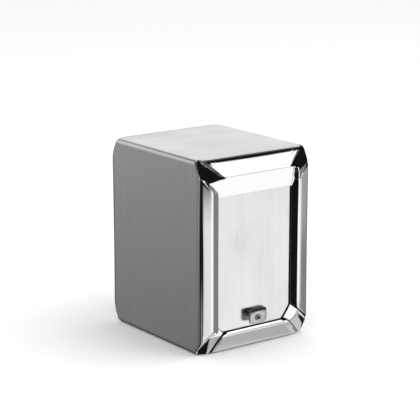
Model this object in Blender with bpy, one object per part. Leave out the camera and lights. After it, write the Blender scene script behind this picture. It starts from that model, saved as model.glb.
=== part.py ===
"""Table napkin dispenser, two-sided, for small folded napkins.

A folded stainless steel shell, open at both ends, stands on its own bottom
flanges. A pressed face frame with a window snaps into each end. Behind each
window a spring-loaded pusher plate rides on a rail; empty, both plates rest
against the frames. Metres, +Z up, origin in the middle of the base, front at -Y.
"""

import math

import bmesh
import bpy
from mathutils import Vector

MM = 0.001

# ---------------------------------------------------------------- dimensions
WIDTH = 90.0            # shell, outside
HEIGHT = 130.0          # shell, outside
DEPTH = 105.0           # over the ridges of both frames
GAP = 0.3               # air between pieces that touch
SHEET_SHELL = 0.7
SHEET_FRAME = 0.6
SHEET_PLATE = 0.8
BEND_R = 3.0            # outside radius of the shell's four bends
FLANGE_W = 14.0         # shell's bottom flanges, turned inward

SIDE_EDGE_Y = 49.0      # where a frame's bend starts, on the sides
TOP_EDGE_Y = 47.0       # the same, on top and bottom
RIDGE_Y = DEPTH / 2 - 0.1
RIDGE_X = 35.6
RIDGE_TOP, RIDGE_BOTTOM = 117.7, 11.0
WINDOW_X = 30.3
WINDOW_TOP, WINDOW_BOTTOM = 105.5, 13.8
WINDOW_Y = 51.2
FRAME_TURN = 2.3        # distance from a bend's start to its virtual corner
FRAME_FLANGE = 6.0      # length of a frame's flange inside the shell

PLATE_Y = WINDOW_Y - SHEET_FRAME - 2 * GAP  # a pusher plate's front face
PLATE_X = 33.4
PLATE_Z0, PLATE_Z1 = 11.4, 108.4
PLATE_RIM = 6.8
TRAVEL = 36.0

TAB_X = 7.2             # half the width of a carriage's tab
TAB_Y = 54.6            # its front face
TAB_Z0, TAB_Z1 = 14.6, 25.5
TAB_RIVET_Z = 20.0

SPRING_Z = 62.0
SPRING_R, WIRE_R, SPRING_TURNS = 8.0, 0.5, 9

# One corner of a frame: stations from the side round to the top or bottom.
# Each gives the point on the shell's outline (x, distance from the top or
# bottom, |y|), the point on the ridge and the point on the window's edge.
TOP_CORNER = [
    ((45.0, 12.0, 49.0), (35.6, 23.0, 52.4), (30.3, 29.0, 51.2)),
    ((45.0, 9.2, 48.9), (35.75, 19.7, 52.3), (30.3, 26.8, 51.2)),
    ((45.0, 6.0, 47.4), (36.4, 17.0, 51.8), (30.3, 26.0, 51.2)),
    ((45.0, 3.0, 45.8), (37.0, 14.8, 51.3), (30.3, 25.2, 51.2)),
    ((44.12, 0.88, 44.7), (36.6, 13.2, 51.1), (30.1, 24.7, 51.2)),
    ((42.0, 0.0, 44.6), (34.6, 12.5, 51.4), (29.5, 24.5, 51.2)),
    ((38.0, 0.0, 46.3), (27.5, 12.3, 52.4), (26.5, 24.5, 51.2)),
    ((34.0, 0.0, 47.0), (24.0, 12.3, 52.4), (23.0, 24.5, 51.2)),
]
BOTTOM_CORNER = [
    ((45.0, 12.5, 49.0), (35.6, 21.7, 52.4), (30.3, 22.0, 51.2)),
    ((45.0, 8.5, 48.9), (35.75, 18.4, 52.3), (30.3, 19.5, 51.2)),
    ((45.0, 5.5, 47.5), (36.4, 15.7, 51.8), (29.9, 17.5, 51.2)),
    ((45.0, 3.0, 46.0), (37.0, 13.5, 51.3), (29.2, 16.0, 51.2)),
    ((44.12, 0.88, 45.2), (36.6, 11.9, 51.1), (28.4, 15.0, 51.2)),
    ((42.0, 0.0, 45.0), (34.6, 11.2, 51.4), (27.3, 14.2, 51.2)),
    ((38.0, 0.0, 46.4), (27.5, 11.0, 52.4), (25.3, 13.8, 51.2)),
    ((34.0, 0.0, 47.0), (24.0, 11.0, 52.4), (22.0, 13.8, 51.2)),
]

for old in list(bpy.data.objects):
    bpy.data.objects.remove(old, do_unlink=True)


# ---------------------------------------------------------------- materials
def metal(name, colour, roughness):
    mat = bpy.data.materials.new(name)
    mat.use_nodes = True
    shader = mat.node_tree.nodes["Principled BSDF"]
    shader.inputs["Base Color"].default_value = (*colour, 1.0)
    shader.inputs["Metallic"].default_value = 1.0
    shader.inputs["Roughness"].default_value = roughness
    return mat


BRUSHED = metal("brushed_stainless", (0.60, 0.59, 0.57), 0.32)
POLISHED = metal("polished_stainless", (0.80, 0.80, 0.80), 0.06)
SATIN = metal("satin_stainless", (0.72, 0.72, 0.71), 0.28)
TAB_STEEL = metal("tab_stainless", (0.55, 0.54, 0.52), 0.38)
ZINC = metal("zinc_plated_steel", (0.50, 0.51, 0.53), 0.40)
SPRING_STEEL = metal("spring_steel", (0.42, 0.42, 0.44), 0.30)


# ---------------------------------------------------------------- mesh help
def add_object(name, verts, faces, mat, smooth=False, origin=(0.0, 0.0, 0.0)):
    """A mesh object from points and faces in millimetres, origin in millimetres."""
    ox, oy, oz = origin
    mesh = bpy.data.meshes.new(name)
    mesh.from_pydata([((x - ox) * MM, (y - oy) * MM, (z - oz) * MM) for x, y, z in verts], [], faces)
    bm = bmesh.new()
    bm.from_mesh(mesh)
    bmesh.ops.recalc_face_normals(bm, faces=bm.faces)
    bm.to_mesh(mesh)
    bm.free()
    mesh.materials.append(mat)
    if smooth:
        mesh.shade_smooth()
        mesh.set_sharp_from_angle(angle=math.radians(35))
    obj = bpy.data.objects.new(name, mesh)
    obj.location = (ox * MM, oy * MM, oz * MM)
    bpy.context.scene.collection.objects.link(obj)
    return obj


def prism(outline, lo, hi, axis):
    """Points and faces of a closed outline pulled straight along an axis."""
    place = {
        "x": lambda a, b, c: (c, a, b),
        "y": lambda a, b, c: (a, c, b),
        "z": lambda a, b, c: (a, b, c),
    }[axis]
    n = len(outline)
    verts = [place(a, b, lo) for a, b in outline] + [place(a, b, hi) for a, b in outline]
    faces = [tuple(range(n)), tuple(range(2 * n - 1, n - 1, -1))]
    faces += [(i, (i + 1) % n, n + (i + 1) % n, n + i) for i in range(n)]
    return verts, faces


def rounded(points, radii, steps=4):
    """An outline whose corners are turned into arcs of the given radii."""
    out = []
    n = len(points)
    for i, (p, r) in enumerate(zip(points, radii)):
        p = Vector(p)
        if r <= 0:
            out.append((p.x, p.y))
            continue
        a = (Vector(points[i - 1]) - p).normalized()
        b = (Vector(points[(i + 1) % n]) - p).normalized()
        half = a.angle(b) / 2
        reach = r / math.tan(half)
        start, end = p + a * reach, p + b * reach
        centre = p + (a + b).normalized() * (r / math.sin(half))
        s, e = start - centre, end - centre
        turn = math.atan2(s.x * e.y - s.y * e.x, s.dot(e))
        for k in range(steps + 1):
            t = turn * k / steps
            out.append((centre.x + s.x * math.cos(t) - s.y * math.sin(t),
                        centre.y + s.x * math.sin(t) + s.y * math.cos(t)))
    return out


def turned(profile, sides, x, z, flip=1):
    """A solid turned round an axis along Y through x, z; profile is (radius, y)."""
    verts, faces = [], []
    rings = []
    for r, y in profile:
        if r == 0:
            rings.append([len(verts)])
            verts.append((x, y * flip, z))
        else:
            rings.append(list(range(len(verts), len(verts) + sides)))
            for k in range(sides):
                t = 2 * math.pi * (k + 0.5) / sides
                verts.append((x + r * math.cos(t), y * flip, z + r * math.sin(t)))
    for one, two in zip(rings, rings[1:] + rings[:1]):
        if len(one) == 1 and len(two) == 1:
            continue
        for k in range(sides):
            j = (k + 1) % sides
            if len(one) == 1:
                faces.append((one[0], two[j], two[k]))
            elif len(two) == 1:
                faces.append((one[k], one[j], two[0]))
            else:
                faces.append((one[k], one[j], two[j], two[k]))
    return verts, faces


def cut(obj, *cutters):
    """Takes the cutters away from the object, leaving them hidden beside it."""
    for cutter in cutters:
        cutter.hide_render = True
        cutter.display_type = "WIRE"
        mod = obj.modifiers.new("cut_" + cutter.name, "BOOLEAN")
        mod.operation = "DIFFERENCE"
        mod.solver = "EXACT"
        mod.object = cutter


def unite(obj, *pieces):
    """Welds the pieces onto the object."""
    for piece in pieces:
        piece.hide_render = True
        piece.display_type = "WIRE"
        mod = obj.modifiers.new("weld_" + piece.name, "BOOLEAN")
        mod.operation = "UNION"
        mod.solver = "EXACT"
        mod.object = piece


def box(name, lo, hi, mat=None):
    outline = [(lo[0], lo[1]), (hi[0], lo[1]), (hi[0], hi[1]), (lo[0], hi[1])]
    verts, faces = prism(outline, lo[2], hi[2], "z")
    return add_object(name, verts, faces, mat or ZINC)


def round_bar(name, x, z, y0, y1, r, sides=16):
    verts, faces = turned([(0, y0), (r, y0), (r, y1), (0, y1)], sides, x, z)
    return add_object(name, verts, faces, ZINC)


def round_pin(name, x, y, z0, z1, r, sides=16):
    outline = [(x + r * math.cos(2 * math.pi * (k + 0.5) / sides),
                y + r * math.sin(2 * math.pi * (k + 0.5) / sides)) for k in range(sides)]
    verts, faces = prism(outline, z0, z1, "z")
    return add_object(name, verts, faces, ZINC)


# ---------------------------------------------------------------- outline
def corner_stations(corner, side, top):
    """A corner's stations in place: side is +1 right or -1 left; top or bottom."""
    out = []
    for rim, ridge, window in corner:
        row = []
        for x, h, y in (rim, ridge, window):
            row.append((x * side, HEIGHT - h if top else h, y))
        out.append(row)
    return out


def frame_stations():
    """All stations once round a frame, anticlockwise seen from the front."""
    right_top = corner_stations(TOP_CORNER, 1, True)
    left_top = corner_stations(TOP_CORNER, -1, True)
    left_bottom = corner_stations(BOTTOM_CORNER, -1, False)
    right_bottom = corner_stations(BOTTOM_CORNER, 1, False)
    return right_top + left_top[::-1] + left_bottom + right_bottom[::-1]


def inward(x, z):
    """The shell's inward direction at a point of its outline, as (x, z)."""
    cx = max(-(WIDTH / 2 - BEND_R), min(WIDTH / 2 - BEND_R, x))
    cz = max(BEND_R, min(HEIGHT - BEND_R, z))
    if abs(x) >= WIDTH / 2 - 1e-6 and BEND_R <= z <= HEIGHT - BEND_R:
        return (-math.copysign(1, x), 0.0)
    if BEND_R - 1e-6 <= z <= HEIGHT - BEND_R + 1e-6:
        return (-math.copysign(1, x), 0.0)
    if abs(x) <= WIDTH / 2 - BEND_R + 1e-6:
        return (0.0, -1.0 if z > HEIGHT / 2 else 1.0)
    length = math.hypot(cx - x, cz - z)
    return ((cx - x) / length, (cz - z) / length)


# ---------------------------------------------------------------- face frames
def frame_profile(rim, ridge, window):
    """One section of a frame: a closed loop of points for |y|, as (x, |y|, z)."""
    x, z, y = rim
    nx, nz = inward(x, z)

    def at_rim(inset, forward):
        return (x + nx * inset, y + forward, z + nz * inset)

    start = Vector((x, y, z))
    virtual = Vector((x, y + FRAME_TURN, z))
    q = Vector((ridge[0], ridge[2], ridge[1]))
    w = Vector((window[0], window[2], window[1]))
    to_ridge = (q - virtual).normalized()
    end = virtual + to_ridge * FRAME_TURN
    normal_in = Vector((nx, 0, nz))
    back = Vector((0, -1, 0))
    outer, inner = [], []
    for k in (0.0, 0.3, 0.65, 1.0):
        p = start * (1 - k) ** 2 + virtual * 2 * k * (1 - k) + end * k * k
        outer.append(p)
        way = (normal_in * (1 - k) + back * k).normalized()
        inner.append(p + way * SHEET_FRAME * (1.7 if k == 0 else 1.15 if k < 0.5 else 1.0))
    mid = (end + q) / 2
    outer += [mid, q, w]
    inner += [mid + back * SHEET_FRAME, q + back * SHEET_FRAME, w + back * SHEET_FRAME]
    inset = SHEET_SHELL + GAP
    flange = [at_rim(inset, -FRAME_FLANGE), at_rim(inset, 0.0)]
    flange_in = [at_rim(inset + SHEET_FRAME, -0.4), at_rim(inset + SHEET_FRAME, -FRAME_FLANGE)]
    inner = inner[1:]
    loop = flange + [tuple(p) for p in outer] + [tuple(p) for p in inner[::-1]] + flange_in
    return loop


def build_frame(name, sign):
    rows = [frame_profile(*[(p[0], p[1], p[2]) for p in station]) for station in frame_stations()]
    m, n = len(rows[0]), len(rows)
    verts = [(x, y * sign, z) for row in rows for x, y, z in row]
    faces = [(i * m + k, i * m + (k + 1) % m, ((i + 1) % n) * m + (k + 1) % m, ((i + 1) % n) * m + k)
             for i in range(n) for k in range(m)]
    return add_object(name, verts, faces, POLISHED, smooth=True)


# ---------------------------------------------------------------- shell
def build_shell():
    """The wrap: a strip of sheet folded round four bends, its ends cut to the frames' outline."""
    outline = []
    half = WIDTH / 2 - SHEET_SHELL
    stop = WIDTH / 2 - FLANGE_W
    outline.append((stop, 0.0, TOP_EDGE_Y))
    for x, z, y in [s[0] for s in corner_stations(BOTTOM_CORNER, 1, False)][::-1]:
        outline.append((x, z, y))
    for x, z, y in [s[0] for s in corner_stations(TOP_CORNER, 1, True)]:
        outline.append((x, z, y))
    outline += [(-x, z, y) for x, z, y in outline[::-1]]
    rows = []
    for x, z, y in outline:
        nx, nz = inward(x, z)
        reach = y - GAP
        xi, zi = x + nx * SHEET_SHELL, z + nz * SHEET_SHELL
        rows.append([(x, -reach, z), (x, reach, z), (xi, reach, zi), (xi, -reach, zi)])
    verts = [p for row in rows for p in row]
    n = len(rows)
    faces = [(i * 4 + k, i * 4 + (k + 1) % 4, (i + 1) * 4 + (k + 1) % 4, (i + 1) * 4 + k)
             for i in range(n - 1) for k in range(4)]
    faces += [(0, 1, 2, 3), tuple(4 * (n - 1) + k for k in (3, 2, 1, 0))]
    return add_object("body_shell", verts, faces, BRUSHED, smooth=True)


shell = build_shell()
front_frame = build_frame("front_face_frame", -1)
rear_frame = build_frame("rear_face_frame", 1)

# ---------------------------------------------------------------- base plate
BASE_Z0 = SHEET_SHELL + GAP
BASE_Z1 = BASE_Z0 + 0.8
BASE_X, BASE_Y = 40.5, 40.0
base = add_object("base_plate", *prism(rounded(
    [(-BASE_X, -BASE_Y), (BASE_X, -BASE_Y), (BASE_X, BASE_Y), (-BASE_X, BASE_Y)], [3] * 4),
    BASE_Z0, BASE_Z1, "z"), ZINC)

# Six flush rivets fasten the base plate to the shell's flanges: a wide flat
# head sunk into the flange, so that nothing stands below it, and a low dome above.
BASE_RIVETS = [(x, y) for x in (-37.0, 37.0) for y in (-32.0, 0.0, 32.0)]


def stepped_pin(name, x, y, levels, mat, sides=14):
    """A rivet standing along Z: levels are (z, radius), bottom to top."""
    verts, faces, rings = [], [], []
    for z, r in levels:
        rings.append(range(len(verts), len(verts) + sides))
        for k in range(sides):
            t = 2 * math.pi * (k + 0.5) / sides
            verts.append((x + r * math.cos(t), y + r * math.sin(t), z))
    faces.append(tuple(rings[0])[::-1])
    for one, two in zip(rings, rings[1:]):
        for k in range(sides):
            j = (k + 1) % sides
            faces.append((one[k], one[j], two[j], two[k]))
    faces.append(tuple(rings[-1]))
    return add_object(name, verts, faces, mat, smooth=True, origin=(x, y, levels[0][0]))


for i, (x, y) in enumerate(BASE_RIVETS, 1):
    stepped_pin(f"base_rivet_{i}", x, y, [
        (0.12, 2.7), (SHEET_SHELL - 0.02, 2.7), (SHEET_SHELL - 0.02, 1.2), (BASE_Z1 + GAP, 1.2),
        (BASE_Z1 + GAP, 2.4), (BASE_Z1 + GAP + 0.5, 2.1), (BASE_Z1 + GAP + 0.8, 1.2)], ZINC)
    cut(shell, round_pin(f"shell_hole_{i}", x, y, -2, BASE_Z0 + 0.1, 3.0))
    cut(base, round_pin(f"base_hole_{i}", x, y, BASE_Z0 - 2, BASE_Z1 + 2, 1.5))

# ---------------------------------------------------------------- guide rail
RAIL_Z = BASE_Z1 + GAP
RAIL_Y = 40.0
HEAD_Z0, HEAD_Z1 = RAIL_Z + 4.6, RAIL_Z + 5.8
HEAD_X = 5.0
rail_outline = [
    (-9.0, RAIL_Z), (9.0, RAIL_Z), (9.0, RAIL_Z + 0.8), (1.1, RAIL_Z + 0.8), (1.1, HEAD_Z0),
    (HEAD_X, HEAD_Z0), (HEAD_X, HEAD_Z1), (-HEAD_X, HEAD_Z1), (-HEAD_X, HEAD_Z0),
    (-1.1, HEAD_Z0), (-1.1, RAIL_Z + 0.8), (-9.0, RAIL_Z + 0.8)]
# the rail runs on under the carriages, past the base plate's edges
RAIL_END = 47.6
rail = add_object("guide_rail", *prism(rail_outline, -RAIL_END, RAIL_END, "y"), ZINC)
for i, (x, y) in enumerate([(-6.3, -30.0), (6.3, -30.0), (-6.3, 30.0), (6.3, 30.0)], 1):
    stepped_pin(f"rail_rivet_{i}", x, y, [
        (0.1, 2.1), (BASE_Z0 - GAP, 2.1), (BASE_Z0 - GAP, 1.1), (RAIL_Z + 1.1, 1.1),
        (RAIL_Z + 1.1, 2.0), (RAIL_Z + 1.6, 1.4)], ZINC)
    cut(rail, round_pin(f"rail_hole_{i}", x, y, RAIL_Z - 2, RAIL_Z + 2, 1.4))
    cut(base, round_pin(f"rail_base_hole_{i}", x, y, BASE_Z0 - 2, BASE_Z1 + 2, 1.4))

# ---------------------------------------------------------------- centre post
# A sheet upright across the middle, with two feet that straddle the rail.
POST_T = 0.5            # half its thickness
POST_TOP = 76.0
post_outline = rounded([
    (-20.0, RAIL_Z), (-11.0, RAIL_Z), (-11.0, 16.0), (11.0, 16.0), (11.0, RAIL_Z), (20.0, RAIL_Z),
    (20.0, 40.0), (13.0, POST_TOP), (-13.0, POST_TOP), (-20.0, 40.0)],
    [0, 0, 3, 3, 0, 0, 6, 5, 5, 6], 3)
post = add_object("centre_post", *prism(post_outline, -POST_T, POST_T, "y"), ZINC)
for side in (-1, 1):
    foot = box(f"post_foot_{side + 1}", (min(side * 11.0, side * 20.0), -POST_T, RAIL_Z),
               (max(side * 11.0, side * 20.0), 9.0, RAIL_Z + 0.8))
    unite(post, foot)
for i, x in enumerate((-15.5, 15.5), 1):
    stepped_pin(f"post_rivet_{i}", x, 5.0, [
        (0.1, 2.3), (BASE_Z0 - GAP, 2.3), (BASE_Z0 - GAP, 1.2), (RAIL_Z + 1.1, 1.2),
        (RAIL_Z + 1.1, 2.2), (RAIL_Z + 1.6, 1.5)], ZINC)
    cut(post, round_pin(f"post_hole_{i}", x, 5.0, RAIL_Z - 2, RAIL_Z + 2, 1.5))
    cut(base, round_pin(f"post_base_hole_{i}", x, 5.0, BASE_Z0 - 2, BASE_Z1 + 2, 1.5))
cut(post, round_bar("post_centre_hole", 0, SPRING_Z, -3, 3, 1.8))

# ---------------------------------------------------------------- moving sets
PLATE_BACK = PLATE_Y - SHEET_PLATE
LEG_Y0 = PLATE_BACK - GAP               # leg's front face, behind the plate
LEG_Y1 = LEG_Y0 - 0.8
CUP_Y = PLATE_BACK - GAP


def mirrored(points, sign):
    return [(a * sign, b) for a, b in points]


def plate_outline(inset):
    x, z0, z1 = PLATE_X - inset, PLATE_Z0 + inset, PLATE_Z1 - inset
    low, high = 8.0 - inset * 0.586, 3.0
    return [(-x + low, z0), (x - low, z0), (x, z0 + low), (x, z1 - high), (x - high, z1),
            (-x + high, z1), (-x, z1 - high), (-x, z0 + low)]


def build_plate(name, sign):
    """A shallow pan: the flat panel, and a rim turned back all round it."""
    out, inn = plate_outline(0.0), plate_outline(SHEET_PLATE)
    n = len(out)
    y = [PLATE_Y, PLATE_Y - PLATE_RIM, PLATE_Y - SHEET_PLATE]
    verts = [(x, sign * y[0], z) for x, z in out] + [(x, sign * y[1], z) for x, z in out]
    verts += [(x, sign * y[1], z) for x, z in inn] + [(x, sign * y[2], z) for x, z in inn]
    faces = [tuple(range(n)), tuple(3 * n + k for k in range(n))[::-1]]
    for ring in range(3):
        faces += [(ring * n + k, ring * n + (k + 1) % n, (ring + 1) * n + (k + 1) % n, (ring + 1) * n + k)
                  for k in range(n)]
    plate = add_object(name, verts, faces, SATIN)
    lo, hi = sorted((sign * (PLATE_BACK - 0.05), sign * (PLATE_Y - PLATE_RIM - 1)))
    notch = box(name + "_notch", (-9.5, lo, PLATE_Z0 - 2), (9.5, hi, PLATE_Z0 + 4))
    lo, hi = sorted((sign * (PLATE_Y + 1), sign * (PLATE_BACK - 1)))
    slot = box(name + "_slot", (-TAB_X - 0.5, lo, TAB_Z1 - 1.4), (TAB_X + 0.5, hi, TAB_Z1 + 0.4))
    hole = round_bar(name + "_hole", 0, TAB_RIVET_Z, min(lo, hi), max(lo, hi), 1.6)
    cut(plate, notch, slot, hole)
    return plate


def build_carriage(name, sign):
    """A shoe round the rail's head, a leg behind the plate, and a tab through its slot, folded down."""
    shoe_y0, shoe_y1 = PLATE_Y - 2.9, PLATE_Y - 11.6
    z0, z1 = HEAD_Z0 - 1.9, HEAD_Z1 + 1.3
    x1 = HEAD_X + 1.8
    shoe = [(-x1, z0), (-1.6, z0), (-1.6, HEAD_Z0 - GAP), (-HEAD_X - 0.4, HEAD_Z0 - GAP),
            (-HEAD_X - 0.4, HEAD_Z1 + GAP), (HEAD_X + 0.4, HEAD_Z1 + GAP), (HEAD_X + 0.4, HEAD_Z0 - GAP),
            (1.6, HEAD_Z0 - GAP), (1.6, z0), (x1, z0), (x1, z1), (-x1, z1)]
    obj = add_object(name, *prism(shoe, *sorted((sign * shoe_y0, sign * shoe_y1)), "y"), TAB_STEEL)
    # leg, strip and tab are one strip of sheet, seen here from the side
    t = 0.8
    side = [(LEG_Y1, z1 - 0.6), (LEG_Y0, z1 - 0.6), (LEG_Y0, TAB_Z1 - t - 0.8), (LEG_Y0 + 0.8, TAB_Z1 - t),
            (TAB_Y - t - 0.6, TAB_Z1 - t), (TAB_Y - t, TAB_Z1 - t - 0.6), (TAB_Y - t, TAB_Z0), (TAB_Y, TAB_Z0),
            (TAB_Y, TAB_Z1 - 1.3), (TAB_Y - 0.4, TAB_Z1 - 0.4), (TAB_Y - 1.3, TAB_Z1),
            (LEG_Y1 + 1.0, TAB_Z1), (LEG_Y1 + 0.3, TAB_Z1 - 0.3), (LEG_Y1, TAB_Z1 - 1.0)]
    strip = add_object(name + "_strip", *prism([(sign * a, b) for a, b in side], -TAB_X, TAB_X, "x"), TAB_STEEL)
    # a bridge from the shoe's top to the leg's foot
    bridge = box(name + "_bridge", (-5.5, min(sign * (shoe_y1 + 1), sign * LEG_Y0), z1 - 0.7),
                 (5.5, max(sign * (shoe_y1 + 1), sign * LEG_Y0), z1 + 0.5))
    corners = []
    for s in (-1, 1):
        # round the tab's lower corners
        r = 2.2
        arc = [(s * (TAB_X - r + r * math.sin(a)), TAB_Z0 + r - r * math.cos(a))
               for a in [math.pi / 2 * k / 5 for k in range(6)]]
        outline = arc + [(s * (TAB_X + 1), TAB_Z0 + r), (s * (TAB_X + 1), TAB_Z0 - 1), (s * (TAB_X - r), TAB_Z0 - 1)]
        lo, hi = sorted((sign * (TAB_Y + 1), sign * (TAB_Y - t - 0.5)))
        corners.append(add_object(f"{name}_corner_{s + 1}", *prism(outline, lo, hi, "y"), ZINC))
    lo, hi = sorted((sign * (TAB_Y + 1), sign * (LEG_Y1 - 1)))
    hole = round_bar(name + "_hole", 0, TAB_RIVET_Z, lo, hi, 1.6)
    cut(strip, *corners, hole)
    unite(obj, strip, bridge)
    return obj


def build_tab_rivet(name, sign):
    """A tubular rivet through tab, plate and leg, with a rolled head at the front."""
    f, b = TAB_Y + GAP, LEG_Y1 - GAP
    profile = [(0, b - 0.5), (1.6, b - 0.5), (2.1, b), (1.2, b), (1.2, f), (2.1, f), (1.9, f + 0.45),
               (1.2, f + 0.6), (0.75, f + 0.3), (0.75, f - 1.5), (0, f - 1.5)]
    verts, faces = turned(profile, 18, 0, TAB_RIVET_Z, sign)
    return add_object(name, verts, faces, TAB_STEEL, smooth=True)


def build_cup(name, y, way, sign, bore=0.0):
    """A seat that centres a spring's end: a flat ring and a boss that the coil fits round."""
    profile = [(bore, y), (10.2, y), (10.2, y + way * 0.8), (6.9, y + way * 0.8), (6.6, y + way * 3.4),
               (5.8, y + way * 3.4), (5.4, y + way * 1.0), (bore, y + way * 0.9)]
    verts, faces = turned(profile, 24, 0, SPRING_Z, sign)
    return add_object(name, verts, faces, ZINC, smooth=True)


def build_spring(name, sign):
    """A coil along Y from the post's seat to the plate's seat, ends closed."""
    y0, y1 = POST_T + GAP + 0.8 + GAP + WIRE_R, CUP_Y - 0.8 - GAP - WIRE_R
    steps = 14
    total = SPRING_TURNS * steps
    closed = 0.75 * steps
    sides = 6
    verts, faces = [], []
    for i in range(total + 1):
        a = 2 * math.pi * i / steps
        t = min(max((i - closed) / (total - 2 * closed), 0.0), 1.0)
        lead = 1.1 * WIRE_R * min(i, closed) / closed + 1.1 * WIRE_R * max(0.0, i - (total - closed)) / closed
        y = y0 + lead + (y1 - y0 - 2.2 * WIRE_R) * t
        for k in range(sides):
            b = 2 * math.pi * k / sides
            r = SPRING_R + WIRE_R * math.cos(b)
            verts.append((r * math.cos(a), sign * (y + WIRE_R * math.sin(b)), SPRING_Z + r * math.sin(a)))
    for i in range(total):
        for k in range(sides):
            j = (k + 1) % sides
            faces.append((i * sides + k, i * sides + j, (i + 1) * sides + j, (i + 1) * sides + k))
    faces.append(tuple(range(sides)))
    faces.append(tuple(total * sides + k for k in range(sides))[::-1])
    return add_object(name, verts, faces, SPRING_STEEL, smooth=True)


for end, sign in (("front", -1), ("rear", 1)):
    build_plate(f"{end}_pusher_plate", sign)
    build_carriage(f"{end}_carriage", sign)
    build_tab_rivet(f"{end}_tab_rivet", sign)
    build_cup(f"{end}_plate_spring_seat", CUP_Y, -1, sign)
    build_cup(f"{end}_post_spring_seat", POST_T + GAP, 1, sign, bore=1.8)
    build_spring(f"{end}_spring", sign)

seat_face = POST_T + GAP + 1.0 + GAP
verts, faces = turned([(0, -seat_face - 0.8), (2.2, -seat_face - 0.8), (2.8, -seat_face), (1.4, -seat_face),
                       (1.4, seat_face), (2.8, seat_face), (2.2, seat_face + 0.8), (0, seat_face + 0.8)],
                      16, 0, SPRING_Z)
add_object("seat_rivet", verts, faces, ZINC, smooth=True)

# ---------------------------------------------------------------- frame clips
# Leaf clips spot-welded inside the shell's sides; each presses on a frame's flange.
CLIP_Z = 62.0
for end, sign in (("front", -1), ("rear", 1)):
    for hand, side in (("left", -1), ("right", 1)):
        x_wall = WIDTH / 2 - SHEET_SHELL - GAP
        x_leaf = x_wall - SHEET_FRAME - GAP
        t = 0.5
        plan = [(x_wall, 31.0), (x_wall, 41.6), (x_leaf, 43.4), (x_leaf, 46.2), (x_leaf - 0.8, 47.6),
                (x_leaf - 0.8 - t, 47.4), (x_leaf - t, 46.1), (x_leaf - t, 43.2), (x_wall - t, 41.4),
                (x_wall - t, 31.0)]
        add_object(f"{end}_frame_clip_{hand}", *prism(
            [(side * a, sign * b) for a, b in plan], CLIP_Z - 8, CLIP_Z + 8, "z"), SPRING_STEEL)
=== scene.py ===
"""The looks of a two-sided table napkin dispenser in stainless steel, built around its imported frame."""
import math

import bmesh
import bpy
import numpy as np
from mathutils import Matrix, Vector


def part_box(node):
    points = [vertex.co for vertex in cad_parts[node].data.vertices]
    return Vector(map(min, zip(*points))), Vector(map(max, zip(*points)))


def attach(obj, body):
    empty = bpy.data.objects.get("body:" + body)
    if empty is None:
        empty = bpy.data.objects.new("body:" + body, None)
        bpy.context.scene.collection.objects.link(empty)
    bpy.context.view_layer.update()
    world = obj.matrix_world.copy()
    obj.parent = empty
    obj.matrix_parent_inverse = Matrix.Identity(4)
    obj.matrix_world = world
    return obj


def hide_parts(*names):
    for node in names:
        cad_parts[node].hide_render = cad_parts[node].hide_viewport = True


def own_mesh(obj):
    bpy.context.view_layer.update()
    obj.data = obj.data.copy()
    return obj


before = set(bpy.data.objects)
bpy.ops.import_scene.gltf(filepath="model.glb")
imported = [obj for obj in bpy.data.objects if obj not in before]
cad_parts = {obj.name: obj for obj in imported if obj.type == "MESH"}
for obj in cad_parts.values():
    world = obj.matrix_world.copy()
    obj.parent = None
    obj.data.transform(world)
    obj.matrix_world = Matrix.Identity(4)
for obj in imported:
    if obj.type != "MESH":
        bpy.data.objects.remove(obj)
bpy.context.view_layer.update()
MM = 0.001

# ------------------------------------------------------------------ dimensions
SHELL_LO, SHELL_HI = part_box("body_shell")
HALF_W = SHELL_HI.x / MM                    # 45
HEIGHT = SHELL_HI.z / MM                    # 130
BEND_R = 3.0
SHEET_SHELL, SHEET_FRAME, SHEET_PLATE, GAP = 0.7, 0.6, 0.8, 0.3
PLATE_LO, PLATE_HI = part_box("front_pusher_plate")
PLATE_Y = -PLATE_LO.y / MM                  # front face of the panel
TAB_LO, TAB_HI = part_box("front_carriage")
TAB_Y, TAB_Z1 = -TAB_LO.y / MM, TAB_HI.z / MM
TAB_X = TAB_HI.x / MM

TOP_CORNER = [
    ((45.0, 12.0, 49.0), (35.6, 23.0, 52.4), (30.3, 29.0, 51.2)),
    ((45.0, 9.2, 48.9), (35.75, 19.7, 52.3), (30.3, 26.8, 51.2)),
    ((45.0, 6.0, 47.4), (36.4, 17.0, 51.8), (30.3, 26.0, 51.2)),
    ((45.0, 3.0, 45.8), (37.0, 14.8, 51.3), (30.3, 25.2, 51.2)),
    ((44.12, 0.88, 44.7), (36.6, 13.2, 51.1), (30.1, 24.7, 51.2)),
    ((42.0, 0.0, 44.6), (34.6, 12.5, 51.4), (29.5, 24.5, 51.2)),
    ((38.0, 0.0, 46.3), (27.5, 12.3, 52.4), (26.5, 24.5, 51.2)),
    ((34.0, 0.0, 47.0), (24.0, 12.3, 52.4), (23.0, 24.5, 51.2)),
]
BOTTOM_CORNER = [
    ((45.0, 12.5, 49.0), (35.6, 21.7, 52.4), (30.3, 22.0, 51.2)),
    ((45.0, 8.5, 48.9), (35.75, 18.4, 52.3), (30.3, 19.5, 51.2)),
    ((45.0, 5.5, 47.5), (36.4, 15.7, 51.8), (29.9, 17.5, 51.2)),
    ((45.0, 3.0, 46.0), (37.0, 13.5, 51.3), (29.2, 16.0, 51.2)),
    ((44.12, 0.88, 45.2), (36.6, 11.9, 51.1), (28.4, 15.0, 51.2)),
    ((42.0, 0.0, 45.0), (34.6, 11.2, 51.4), (27.3, 14.2, 51.2)),
    ((38.0, 0.0, 46.4), (27.5, 11.0, 52.4), (25.3, 13.8, 51.2)),
    ((34.0, 0.0, 47.0), (24.0, 11.0, 52.4), (22.0, 13.8, 51.2)),
]
FRAME_FLANGE = 6.0
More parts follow.
